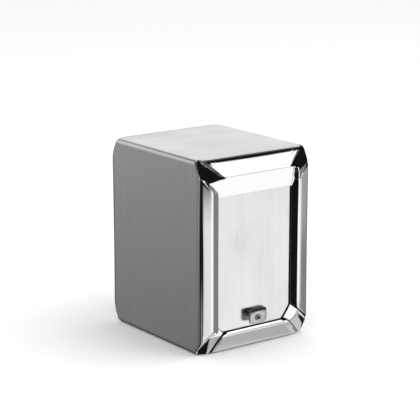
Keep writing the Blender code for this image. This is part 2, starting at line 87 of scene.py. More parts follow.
# How the face pressing is folded at each corner, from the side round to the top or foot. Each row:
# place on the rim (x, distance from top or foot), depth of the rim's turn, then the ridge, the fold
# between ridge and window, and the window's edge (x, distance from top or foot, distance forward).
FOLDS = {
    (-1, 1): [
        (45, 14.5, 2.3, (35.6, 24.0, 52.4), (33.0, 26.0, 51.8), (30.3, 28.0, 51.1)),
        (45, 10.2, 2.3, (35.6, 20.6, 52.4), (33.0, 23.4, 51.8), (30.3, 26.4, 51.1)),
        (45, 9.4, 1.6, (38.2, 15.6, 52.3), (31.4, 21.4, 51.55), (30.3, 25.9, 51.1)),
        (45, 7.6, 0.9, (38.2, 14.7, 52.2), (30.7, 21.6, 51.45), (30.3, 25.5, 51.1)),
        (45, 5.5, 0.5, (37.6, 14.6, 52.2), (30.0, 21.0, 51.6), (29.9, 25.3, 51.1)),
        (44.12, 0.88, 0.4, (33.0, 13.8, 52.3), (28.5, 20.0, 51.7), (28.8, 25.1, 51.1)),
        (42, 0, 0.5, (28.6, 13.4, 52.4), (27.0, 19.5, 51.7), (27.0, 25.1, 51.1)),
        (41.2, 0, 0.6, (26.2, 13.4, 52.4), (25.8, 19.2, 51.75), (25.8, 25.1, 51.1)),
        (40.6, 0, 4.2, (25.4, 12.9, 52.4), (25.2, 19.0, 51.8), (25.2, 25.1, 51.1)),
        (38.0, 0, 3.0, (24.2, 12.6, 52.4), (24.0, 18.8, 51.8), (24.0, 25.0, 51.1)),
        (34.0, 0, 2.3, (22.6, 12.3, 52.4), (22.4, 18.5, 51.8), (22.4, 25.0, 51.1)),
    ],
    (1, 1): [
        (45, 15.5, 2.3, (35.6, 24.4, 52.4), (33.0, 25.6, 51.8), (30.3, 27.0, 51.1)),
        (45, 12.2, 2.3, (35.7, 21.4, 52.4), (33.0, 22.8, 51.8), (30.4, 25.6, 51.1)),
        (45, 11.4, 1.0, (35.7, 20.4, 52.65), (32.2, 21.4, 51.4), (30.4, 25.3, 51.1)),
        (45, 8.0, 0.6, (35.2, 16.0, 53.1), (31.2, 17.0, 51.7), (30.4, 25.1, 51.1)),
        (45, 4.0, 0.4, (34.3, 12.9, 53.1), (31.3, 13.4, 52.1), (30.3, 25.0, 51.1)),
        (44.12, 0.88, 0.4, (32.6, 12.3, 52.7), (31.0, 13.2, 52.28), (30.0, 25.0, 51.1)),
        (42, 0, 0.4, (30.0, 12.1, 52.45), (29.6, 17.0, 51.93), (29.2, 24.9, 51.1)),
        (40.4, 0, 0.5, (28.0, 12.0, 52.4), (27.8, 18.4, 51.8), (27.6, 24.8, 51.1)),
        (39.8, 0, 3.9, (27.3, 12.0, 52.4), (27.1, 18.4, 51.8), (27.0, 24.8, 51.1)),
        (38.0, 0, 3.0, (26.4, 12.0, 52.4), (26.2, 18.4, 51.8), (26.2, 24.8, 51.1)),
        (34.0, 0, 2.3, (23.5, 12.1, 52.4), (23.3, 18.4, 51.8), (23.3, 24.8, 51.1)),
    ],
    (-1, 0): [
        (45, 12.5, 2.3, (35.6, 20.0, 52.4), (33.0, 20.2, 51.8), (30.3, 20.4, 51.1)),
        (45, 8.8, 2.3, (35.6, 16.6, 52.4), (33.0, 16.8, 51.8), (30.2, 16.9, 51.1)),
        (45, 6.5, 1.6, (37.9, 12.2, 51.7), (32.0, 13.5, 51.5), (29.4, 16.0, 51.1)),
        (45, 2.2, 0.2, (37.85, 12.1, 51.6), (31.5, 13.0, 51.4), (28.8, 15.3, 51.1)),
        (44.12, 0.88, 0.2, (37.8, 12.1, 51.6), (31.2, 12.8, 51.4), (28.5, 15.0, 51.1)),
        (42, 0, 0.9, (37.75, 12.0, 51.6), (31.0, 12.5, 51.4), (28.0, 14.4, 51.1)),
        (38.4, 0, 2.0, (37.5, 12.0, 51.6), (30.5, 12.0, 51.4), (27.5, 13.8, 51.1)),
        (37.4, 0, 1.6, (33.5, 10.9, 51.2), (29.4, 11.8, 51.3), (27.0, 13.6, 51.1)),
        (36.2, 0, 1.2, (29.8, 10.4, 51.0), (28.2, 11.8, 51.2), (26.5, 13.4, 51.1)),
        (35.4, 0, 2.3, (28.4, 10.9, 52.4), (27.2, 12.0, 52.0), (26.0, 13.2, 51.5)),
        (31.0, 0, 2.3, (24.5, 10.9, 52.4), (24.0, 12.0, 52.1), (23.5, 13.2, 51.7)),
    ],
    (1, 0): [
        (45, 15.5, 2.3, (35.6, 24.0, 52.4), (33.0, 24.8, 51.8), (30.2, 25.6, 51.1)),
        (45, 11.6, 2.3, (36.0, 19.2, 52.4), (33.2, 20.9, 51.8), (30.3, 22.9, 51.1)),
        (45, 10.4, 0.8, (36.7, 17.9, 51.0), (33.4, 20.2, 51.0), (30.2, 22.4, 51.05)),
        (45, 4.5, 0.6, (36.0, 15.0, 50.5), (32.0, 17.4, 50.85), (28.6, 20.0, 51.05)),
        (44.12, 0.88, 0.6, (34.5, 12.8, 50.4), (30.6, 15.4, 50.8), (27.2, 18.0, 51.05)),
        (42, 0, 0.7, (31.6, 11.4, 50.6), (28.4, 13.8, 50.85), (25.6, 16.0, 51.05)),
        (40.7, 0, 0.8, (29.8, 10.8, 50.8), (27.0, 12.9, 50.95), (24.4, 14.4, 51.05)),
        (40.0, 0, 2.3, (28.6, 11.0, 52.4), (26.2, 12.3, 52.0), (23.6, 13.4, 51.5)),
        (35.0, 0, 2.3, (24.5, 11.0, 52.4), (23.5, 12.2, 52.1), (22.0, 13.3, 51.7)),
    ],
}


# ------------------------------------------------------------------ materials
def node(tree, kind, **values):
    n = tree.nodes.new(kind)
    for key, value in values.items():
        if key.startswith("in_"):
            n.inputs[key[3:].replace("_", " ")].default_value = value
        else:
            setattr(n, key, value)
    return n


def link(tree, a, b):
    tree.links.new(a, b)


def stretched(tree, scale, noise_scale, detail=3.0, rough=0.6):
    """A noise drawn out along one direction, as a grain is."""
    coords = node(tree, "ShaderNodeTexCoord")
    mapping = node(tree, "ShaderNodeMapping")
    mapping.inputs["Scale"].default_value = scale
    link(tree, coords.outputs["Object"], mapping.inputs["Vector"])
    noise = node(tree, "ShaderNodeTexNoise", in_Scale=noise_scale, in_Detail=detail, in_Roughness=rough)
    link(tree, mapping.outputs["Vector"], noise.inputs["Vector"])
    return noise.outputs["Fac"]


def ramp(tree, fac, lo, hi, a, b):
    """Maps fac from lo..hi to a..b, clamped."""
    r = node(tree, "ShaderNodeMapRange")
    r.inputs["From Min"].default_value = lo
    r.inputs["From Max"].default_value = hi
    r.inputs["To Min"].default_value = a
    r.inputs["To Max"].default_value = b
    link(tree, fac, r.inputs["Value"])
    return r.outputs["Result"]


def math_node(tree, op, a, b):
    m = node(tree, "ShaderNodeMath", operation=op)
    for i, v in enumerate((a, b)):
        if isinstance(v, (int, float)):
            m.inputs[i].default_value = v
        else:
            link(tree, v, m.inputs[i])
    return m.outputs[0]


def steel(name, colour, rough, rough_var, grain_scale, grain_noise, grain_bump, smudge=0.05,
          scratch=0.0, wave_bump=0.0, shade=0.05, dist=0.00002):
    """Stainless sheet: a drawn-out grain in colour, roughness and bump, smudges, fine scratches."""
    mat = bpy.data.materials.new(name)
    mat.use_nodes = True
    t = mat.node_tree
    shader = t.nodes["Principled BSDF"]
    shader.inputs["Metallic"].default_value = 1.0
    grain = stretched(t, grain_scale, grain_noise, 4.0, 0.65)
    broad = stretched(t, tuple(s * 0.12 for s in grain_scale), grain_noise, 2.0, 0.5)
    cloud = stretched(t, (1, 1, 1), 28.0, 3.0, 0.5)
    # colour
    mix = node(t, "ShaderNodeMix", data_type="RGBA", blend_type="MIX")
    mix.inputs[6].default_value = (*[c * (1 - shade) for c in colour], 1)
    mix.inputs[7].default_value = (*[min(1.0, c * (1 + shade)) for c in colour], 1)
    fac = math_node(t, "ADD", math_node(t, "MULTIPLY", grain, 0.6), math_node(t, "MULTIPLY", broad, 0.4))
    link(t, ramp(t, fac, 0.3, 0.7, 0.0, 1.0), mix.inputs[0])
    link(t, mix.outputs[2], shader.inputs["Base Color"])
    # roughness
    r = ramp(t, fac, 0.3, 0.7, rough - rough_var, rough + rough_var)
    s = ramp(t, cloud, 0.45, 0.7, 0.0, smudge)
    total = math_node(t, "ADD", r, s)
    height = grain
    if scratch > 0:
        lines = stretched(t, (90, 90, 6), 9.0, 1.0, 0.4)
        lines2 = stretched(t, (14, 120, 100), 7.0, 1.0, 0.4)
        a = ramp(t, math_node(t, "ABSOLUTE", math_node(t, "SUBTRACT", lines, 0.5), 0), 0.0, 0.006, 1.0, 0.0)
        b = ramp(t, math_node(t, "ABSOLUTE", math_node(t, "SUBTRACT", lines2, 0.5), 0), 0.0, 0.005, 1.0, 0.0)
        gate = ramp(t, cloud, 0.55, 0.65, 0.0, 1.0)
        both = math_node(t, "MULTIPLY", math_node(t, "MAXIMUM", a, b), gate)
        total = math_node(t, "ADD", total, math_node(t, "MULTIPLY", both, scratch))
    link(t, total, shader.inputs["Roughness"])
    bump = node(t, "ShaderNodeBump", in_Strength=grain_bump, in_Distance=dist)
    link(t, height, bump.inputs["Height"])
    last = bump
    if wave_bump > 0:
        wave = stretched(t, (1, 1, 1), 22.0, 1.0, 0.4)
        bump2 = node(t, "ShaderNodeBump", in_Strength=wave_bump, in_Distance=0.0004)
        link(t, wave, bump2.inputs["Height"])
        link(t, bump.outputs["Normal"], bump2.inputs["Normal"])
        last = bump2
    link(t, last.outputs["Normal"], shader.inputs["Normal"])
    return mat


BRUSHED = steel("look_brushed", (0.78, 0.77, 0.765), 0.30, 0.06, (2, 160, 2), 14.0, 0.35, 0.05, shade=0.06)
POLISHED = steel("look_polished", (0.86, 0.86, 0.86), 0.035, 0.012, (60, 60, 60), 8.0, 0.05, 0.03,
                 scratch=0.06, wave_bump=0.02, shade=0.015, dist=0.000004)
SATIN = steel("look_satin", (0.81, 0.81, 0.81), 0.24, 0.04, (160, 2, 3), 14.0, 0.22, 0.04, shade=0.02)
TAB = steel("look_tab", (0.66, 0.65, 0.64), 0.30, 0.08, (220, 60, 20), 16.0, 0.6, 0.12, shade=0.14)
ZINC = steel("look_zinc", (0.52, 0.53, 0.56), 0.40, 0.08, (40, 40, 40), 20.0, 0.4, 0.1, shade=0.10)
SPRING = steel("look_spring", (0.40, 0.40, 0.42), 0.28, 0.06, (70, 70, 70), 20.0, 0.3, 0.08, shade=0.12)


# ------------------------------------------------------------------ mesh help
def make_object(name, verts, faces, mat, smooth_angle=40.0):
    """A mesh object from points in millimetres."""
    mesh = bpy.data.meshes.new(name)
    mesh.from_pydata([tuple(float(c) * MM for c in v) for v in verts], [], faces)
    bm = bmesh.new()
    bm.from_mesh(mesh)
    bmesh.ops.recalc_face_normals(bm, faces=bm.faces)
    bm.to_mesh(mesh)
    bm.free()
    mesh.materials.append(mat)
    mesh.shade_smooth()
    mesh.set_sharp_from_angle(angle=math.radians(smooth_angle))
    obj = bpy.data.objects.new(name, mesh)
    bpy.context.scene.collection.objects.link(obj)
    return obj


def apply_modifiers(obj):
    bpy.context.view_layer.update()
    deps = bpy.context.evaluated_depsgraph_get()
    mesh = bpy.data.meshes.new_from_object(obj.evaluated_get(deps))
    old = obj.data
    obj.modifiers.clear()
    obj.data = mesh
    if old.users == 0:
        bpy.data.meshes.remove(old)
    return obj


def cut(obj, cutter):
    mod = obj.modifiers.new("cut", "BOOLEAN")
    mod.operation, mod.solver, mod.object = "DIFFERENCE", "EXACT", cutter
    apply_modifiers(obj)
    bpy.data.objects.remove(cutter, do_unlink=True)


def bevel(obj, width, segments=3, angle=30):
    mod = obj.modifiers.new("bevel", "BEVEL")
    mod.width, mod.segments = width * MM, segments
    mod.limit_method, mod.angle_limit = "ANGLE", math.radians(angle)
    mod.miter_outer = "MITER_ARC"
    apply_modifiers(obj)
    obj.data.shade_smooth()
    obj.data.set_sharp_from_angle(angle=math.radians(40))


def prism(outline, lo, hi, axis):
    place = {
        "x": lambda a, b, c: (c, a, b),
        "y": lambda a, b, c: (a, c, b),
        "z": lambda a, b, c: (a, b, c),
    }[axis]
    n = len(outline)
    verts = [place(a, b, lo) for a, b in outline] + [place(a, b, hi) for a, b in outline]
    faces = [tuple(range(n)), tuple(range(2 * n - 1, n - 1, -1))]
    faces += [(i, (i + 1) % n, n + (i + 1) % n, n + i) for i in range(n)]
    return verts, faces


# ------------------------------------------------------------------ the shell's outline by length
def outline_length():
    w, h, r = 2 * HALF_W, HEIGHT, BEND_R
    return 2 * (w - 2 * r) + 2 * (h - 2 * r) + 2 * math.pi * r


def outline_at(s, inset=0.0):
    """Point on the rounded outline at length s, anticlockwise from the middle of the right side; and its inward normal."""
    r = BEND_R
    side, top, arc = HEIGHT / 2 - r, HALF_W - r, math.pi * r / 2
    s %= outline_length()
    quarter = side + arc + top
    q = int(s // quarter)
    u = s - q * quarter
    if q % 2 == 1:
        u = quarter - u          # measured from the side again
    if u <= side:
        x, z, nx, nz = HALF_W, u, -1.0, 0.0
    elif u <= side + arc:
        a = (u - side) / r
        x, z = HALF_W - r + r * math.cos(a), side + r * math.sin(a)
        nx, nz = -math.cos(a), -math.sin(a)
    else:
        x, z, nx, nz = HALF_W - r - (u - side - arc), side + r, 0.0, -1.0
    sx = 1 if q in (0, 3) else -1
    sz = 1 if q in (0, 1) else -1
    x, z, nx, nz = x * sx, z * sz, nx * sx, nz * sz
    return x + nx * inset, z + nz * inset + HEIGHT / 2, nx, nz


def length_of(x, z):
    """Length along the outline of the point x, z on it, in its own quarter from the side's middle."""
    r = BEND_R
    side, top, arc = HEIGHT / 2 - r, HALF_W - r, math.pi * r / 2
    dz = abs(z - HEIGHT / 2)
    ax = abs(x)
    if ax >= HALF_W - 1e-3 and dz <= side + 1e-3:
        u = dz
    elif dz >= HEIGHT / 2 - 1e-3 and ax <= HALF_W - r + 1e-3:
        u = side + arc + (HALF_W - r - ax)
    else:
        u = side + r * math.atan2(dz - side, ax - (HALF_W - r))
    quarter = side + arc + top
    if x >= 0 and z >= HEIGHT / 2:
        return u
    if x < 0 and z >= HEIGHT / 2:
        return 2 * quarter - u
    if x < 0:
        return 2 * quarter + u
    return 4 * quarter - u


def rim_rows():
    """(length, distance forward) of the rim's own stations once round, sorted by length."""
    rows = []
    for side, top in ((1, True), (-1, True), (-1, False), (1, False)):
        for (x, h, y), _, _ in (TOP_CORNER if top else BOTTOM_CORNER):
            rows.append((length_of(x * side, HEIGHT - h if top else h), y))
    return sorted(rows)


def fold_rows():
    """(length, turn, ridge, fold, window) once round, sorted by length."""
    rows = []
    for (side, top), stations in FOLDS.items():
        for x, h, turn, *points in stations:
            s = length_of(x * side, HEIGHT - h if top else h)
            flat = [turn]
            for px, ph, py in points:
                flat += [px * side, HEIGHT - ph if top else ph, py]
            rows.append((s, flat))
    return sorted(rows)


def smooth_round(values, sigma):
    """Gaussian smoothing of rows of a closed, evenly spaced sequence; sigma in steps."""
    reach = int(3 * sigma) + 1
    k = np.exp(-0.5 * (np.arange(-reach, reach + 1) / sigma) ** 2)
    k /= k.sum()
    out = np.zeros_like(values)
    for offset, weight in zip(range(-reach, reach + 1), k):
        out += weight * np.roll(values, offset, axis=0)
    return out


STEP = 0.25                                  # mm, along the outline
CROWN = 0.05                                 # mm, how far the outer slopes bulge
COUNT = int(round(outline_length() / STEP))
LENGTHS = np.arange(COUNT) * outline_length() / COUNT


def once_round(rows):
    """Rows of (length, values) read off at LENGTHS."""
    total = outline_length()
    s = np.array([r[0] for r in rows])
    data = np.array([r[1] for r in rows], float).reshape(len(rows), -1)
    s = np.concatenate([[s[-1] - total], s, [s[0] + total]])
    data = np.vstack([data[-1:], data, data[:1]])
    return np.stack([np.interp(LENGTHS, s, data[:, i]) for i in range(data.shape[1])], axis=1)


def round_curves():
    rim = smooth_round(once_round(rim_rows()), 0.5 / STEP)
    folds = smooth_round(once_round(fold_rows()), 0.22 / STEP)
    return np.hstack([rim, folds])


CURVES = round_curves()


def keep_columns():
    """Which columns to keep: all in the corners, few on the straights."""
    keep = []
    for i, s in enumerate(LENGTHS):
        x, z, _, _ = outline_at(s)
        near = min(abs(z - 0), abs(z - HEIGHT)) < 17 and abs(x) > 26
        if near or i % 20 == 0:
            keep.append(i)
    return keep


COLUMNS = keep_columns()


def frame_section(i):
    """The outer skin of a frame at column i: points (x, |y|, z) from the flange's end to the window."""
    rim_y, turn = CURVES[i, 0], CURVES[i, 1]
    q, m, w = [np.array([c[0], c[2], c[1]]) for c in (CURVES[i, 2:5], CURVES[i, 5:8], CURVES[i, 8:11])]
    x, z, nx, nz = outline_at(LENGTHS[i])
    inset = SHEET_SHELL + GAP
    start = np.array([x, rim_y, z])
    n_in = np.array([nx, 0, nz])
    fwd = np.array([0, 1.0, 0])
    virtual = start + fwd * turn
    to_ridge = (q - virtual) / np.linalg.norm(q - virtual)
    end = virtual + to_ridge * turn
    pts = []
    for k in np.linspace(0, 1, 5):
        pts.append(start + n_in * inset - fwd * FRAME_FLANGE * (1 - k))
    pts.append(start + n_in * (inset - 0.12) + fwd * 0.06)
    pts.append(start + n_in * 0.35 + fwd * 0.03)
    pts.append(start + n_in * 0.08 + fwd * 0.02)
    for k in np.linspace(0, 1, 13):
        pts.append(start * (1 - k) ** 2 + virtual * 2 * k * (1 - k) + end * k * k + fwd * 0.1 * (1 - k) ** 6)
    # slope to the ridge, slightly crowned; a rounded ridge; the slope to the window
    to_fold = m - q
    length1, length2 = np.linalg.norm(q - end), np.linalg.norm(to_fold)
    r = min(0.7, length1 * 0.3, length2 * 0.35)
    a = q + (end - q) / length1 * r
    b = q + to_fold / length2 * r
    for k in np.linspace(0, 1, 10)[1:]:
        pts.append(end + (a - end) * k + fwd * CROWN * 4 * k * (1 - k))
    for k in np.linspace(0, 1, 7)[1:]:
        pts.append(a * (1 - k) ** 2 + q * 2 * k * (1 - k) + b * k * k)
    for k in np.linspace(0, 1, 5)[1:]:
        pts.append(b + (m - b) * k)
    for k in np.linspace(0, 1, 5)[1:]:
        pts.append(m + (w - m) * k)
    return pts


def build_frame(name, sign, node_name, body):
    sections = [frame_section(i) for i in COLUMNS]
    m, n = len(sections[0]), len(sections)
    verts = [(-sign * p[0], p[1] * sign, p[2]) for sec in sections for p in sec]
    faces = []
    for i in range(n):
        j = (i + 1) % n
        for k in range(m - 1):
            faces.append((i * m + k, j * m + k, j * m + k + 1, i * m + k + 1))
    mesh = bpy.data.meshes.new(name)
    mesh.from_pydata([tuple(float(c) * MM for c in v) for v in verts], [], faces)
    mesh.materials.append(POLISHED)
    obj = bpy.data.objects.new(name, mesh)
    bpy.context.scene.collection.objects.link(obj)
    # the outer skin faces out: towards the front in the middle of the top slope
    probe = next(p for p in mesh.polygons if abs(p.center.x) < 0.01 and p.center.z > 0.11
                 and abs(p.center.y) > 0.0515)
    if probe.normal.y * sign < 0:
        mesh.flip_normals()
    mod = obj.modifiers.new("sheet", "SOLIDIFY")
    mod.thickness = SHEET_FRAME * MM
    mod.offset = -1.0
    mod.use_even_offset = False
    mod.use_rim = True
    apply_modifiers(obj)
    # the sheet's inner skin can reach past the rim at a sharp fold: hold it inside the shell's outline
    for v in obj.data.vertices:
        v.co.x = max(-HALF_W * MM, min(HALF_W * MM, v.co.x))
        v.co.z = max(0.0, min(HEIGHT * MM, v.co.z))
    obj.data.shade_smooth()
    obj.data.set_sharp_from_angle(angle=math.radians(50))
    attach(obj, body)
    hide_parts(node_name)
    return obj


def build_shell():
    """The wrap: outer and inner skin between the two frames' rims, from flange end to flange end."""
    stop = HALF_W - 14.0
    order = [i for i in range(COUNT)]
    # start at the bottom middle and go round anticlockwise from the right flange
    pts = []
    for i in order:
        x, z, nx, nz = outline_at(LENGTHS[i])
        pts.append((LENGTHS[i], x, z, nx, nz, CURVES[i, 0]))
    total = outline_length()
    # right flange end sits at length beyond 3/4; rotate so the list starts there
    rows = []
    for k in range(COUNT):
        s, x, z, nx, nz, y = pts[k]
        if z < 0.01 and abs(x) < stop:
            continue
        rows.append((s if s < total * 0.75 else s - total, x, z, nx, nz, y))
    rows.sort(key=lambda r: r[0])
    s_end = length_of(stop, 0.0) - total
    first = rows[0]
    rows.insert(0, (s_end, stop, 0.0, 0.0, 1.0, CURVES[int(round((s_end + total) / total * COUNT)) % COUNT, 0]))
    s_end2 = length_of(-stop, 0.0)
    rows.append((s_end2, -stop, 0.0, 0.0, 1.0, rows[0][5]))
    kept = []
    for idx, row in enumerate(rows):
        _, x, z, nx, nz, y = row
        corner = min(abs(z), abs(z - HEIGHT)) < 17 and abs(x) > 26
        if corner or idx % 10 == 0 or idx in (0, len(rows) - 1):
            kept.append(row)
    verts, faces = [], []
    e = 0.12                                  # the cut edge is broken by this much
    for _, x, z, nx, nz, y in kept:
        reach = y - GAP
        loop = [(0.0, -reach + e), (e, -reach), (SHEET_SHELL - e, -reach), (SHEET_SHELL, -reach + e),
                (SHEET_SHELL, reach - e), (SHEET_SHELL - e, reach), (e, reach), (0.0, reach - e)]
        for inset, yy in loop:
            verts.append((x + nx * inset, yy, z + nz * inset))
    m = 8
    for i in range(len(kept) - 1):
        for k in range(m):
            faces.append((i * m + k, i * m + (k + 1) % m, (i + 1) * m + (k + 1) % m, (i + 1) * m + k))
    faces.append(tuple(range(m)))
    faces.append(tuple((len(kept) - 1) * m + k for k in range(m))[::-1])
    obj = make_object("shell_wrap", verts, faces, BRUSHED, 35)
    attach(obj, "housing")
    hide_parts("body_shell")
    return obj


shell = build_shell()
# holes for the base rivets
for i in range(1, 7):
    lo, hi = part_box(f"base_rivet_{i}")
    c = (lo + hi) / 2
    ring = [(c.x / MM + 3.0 * math.cos(2 * math.pi * k / 32), c.y / MM + 3.0 * math.sin(2 * math.pi * k / 32))
            for k in range(32)]
    cutter = make_object("cutter", *prism(ring, -2, 1.2, "z"), ZINC)
    cut(shell, cutter)
shell.data.shade_smooth()
shell.data.set_sharp_from_angle(angle=math.radians(35))

build_frame("front_frame_pressing", -1, "front_face_frame", "front_frame")
build_frame("rear_frame_pressing", 1, "rear_face_frame", "rear_frame")


# ------------------------------------------------------------------ plates, carriages, rivets, springs
RAIL_LO, RAIL_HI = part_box("guide_rail")
HEAD_Z1 = RAIL_HI.z / MM
HEAD_Z0, HEAD_X = HEAD_Z1 - 1.2, 5.0
PLATE_X, PLATE_Z0, PLATE_Z1 = PLATE_HI.x / MM, PLATE_LO.z / MM, PLATE_HI.z / MM
PLATE_RIM = (PLATE_HI.y - PLATE_LO.y) / MM
LEG_Y0 = PLATE_Y - SHEET_PLATE - GAP
LEG_Y1 = LEG_Y0 - 0.8
TAB_FOOT = 16.2                              # the tab's lower edge
RIVET_LO, RIVET_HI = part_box("front_tab_rivet")
TAB_RIVET_Z = (RIVET_LO.z + RIVET_HI.z) / 2 / MM


def rounded(points, radius, steps):
    """A closed outline with each corner turned on an arc; always the same number of points."""
    out = []
    n = len(points)
    for i in range(n):
        p, a, b = (np.array(points[k % n], float) for k in (i, i - 1, i + 1))
        da, db = (a - p) / np.linalg.norm(a - p), (b - p) / np.linalg.norm(b - p)
        half = math.acos(max(-1.0, min(1.0, float(da @ db)))) / 2
        run = radius / math.tan(half)
        p0, p1 = p + da * run, p + db * run
        for t in np.linspace(0, 1, steps + 1):
            q = p0 * (1 - t) ** 2 + p * 2 * t * (1 - t) + p1 * t * t
            out.append((float(q[0]), float(q[1])))
    return out


def plate_outline(inset):
    x, z0, z1 = PLATE_X - inset, PLATE_Z0 + inset, PLATE_Z1 - inset
    low, high = 8.0 - inset * 0.586, 3.0 - inset * 0.586
    points = [(-x + low, z0), (x - low, z0), (x, z0 + low), (x, z1 - high), (x - high, z1),
              (-x + high, z1), (-x, z1 - high), (-x, z0 + low)]
    return rounded(points, 0.9, 4)


def slab(name, lo, hi, mat):
    verts, faces = prism([(lo[0], lo[2]), (hi[0], lo[2]), (hi[0], hi[2]), (lo[0], hi[2])], lo[1], hi[1], "y")
    return make_object(name, verts, faces, mat)


def turned(profile, sides, x, z, flip):
    """A ring-shaped or solid body turned round an axis along Y; profile is a closed list of (radius, y)."""
    verts, faces, rings = [], [], []
    for r, y in profile:
        count = 1 if r == 0 else sides
        rings.append(list(range(len(verts), len(verts) + count)))
        for k in range(count):
            t = 2 * math.pi * k / sides
            verts.append((x + r * math.cos(t), y * flip, z + r * math.sin(t)))
    for one, two in zip(rings, rings[1:] + rings[:1]):
        for k in range(sides):
            j = (k + 1) % sides
            if len(one) == 1 and len(two) == 1:
                break
            if len(one) == 1:
                faces.append((one[0], two[j], two[k]))
            elif len(two) == 1:
                faces.append((one[k], one[j], two[0]))
            else:
                faces.append((one[k], one[j], two[j], two[k]))
    return verts, faces


def build_plate(end, sign):
    bend = 1.3
    levels = [(bend + 1.0, 0.0)]
    for k in range(8):
        a = math.pi / 2 * k / 7
        levels.append((bend * (1 - math.sin(a)), bend * (1 - math.cos(a))))
    levels += [(0.0, PLATE_RIM - 0.15), (0.15, PLATE_RIM), (SHEET_PLATE - 0.15, PLATE_RIM),
               (SHEET_PLATE, PLATE_RIM - 0.15), (SHEET_PLATE, bend)]
    for k in range(1, 5):
        a = math.pi / 2 * k / 4
        levels.append((bend - (bend - SHEET_PLATE) * math.cos(a), bend - (bend - SHEET_PLATE) * math.sin(a)))
    levels.append((bend + 1.0, SHEET_PLATE))
    verts, faces = [], []
    for inset, back in levels:
        verts += [(x, sign * (PLATE_Y - back), z) for x, z in plate_outline(inset)]
    n = len(plate_outline(0.0))
    for ring in range(len(levels) - 1):
        faces += [(ring * n + k, ring * n + (k + 1) % n, (ring + 1) * n + (k + 1) % n, (ring + 1) * n + k)
                  for k in range(n)]
    faces += [tuple(range(n)), tuple((len(levels) - 1) * n + k for k in range(n))[::-1]]
    obj = make_object(f"{end}_pusher_panel", verts, faces, SATIN)

    def across(a, b):
        return sorted((sign * a, sign * b))

    lo, hi = across(PLATE_Y - SHEET_PLATE - 0.05, PLATE_Y - PLATE_RIM - 1)
    cut(obj, slab("notch", (-9.5, lo, PLATE_Z0 - 2), (9.5, hi, PLATE_Z0 + 4), SATIN))
    lo, hi = across(PLATE_Y + 1, PLATE_Y - SHEET_PLATE - 1)
    cut(obj, slab("slot", (-TAB_X - 0.35, lo, TAB_Z1 - 1.15), (TAB_X + 0.35, hi, TAB_Z1 + 0.25), SATIN))
    v, f = turned([(0, lo), (1.6, lo), (1.6, hi), (0, hi)], 40, 0, TAB_RIVET_Z, 1)
    cut(obj, make_object("hole", v, f, SATIN))
    obj.data.shade_smooth()
    obj.data.set_sharp_from_angle(angle=math.radians(30))
    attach(obj, f"{end}_pusher")
    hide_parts(f"{end}_pusher_plate")


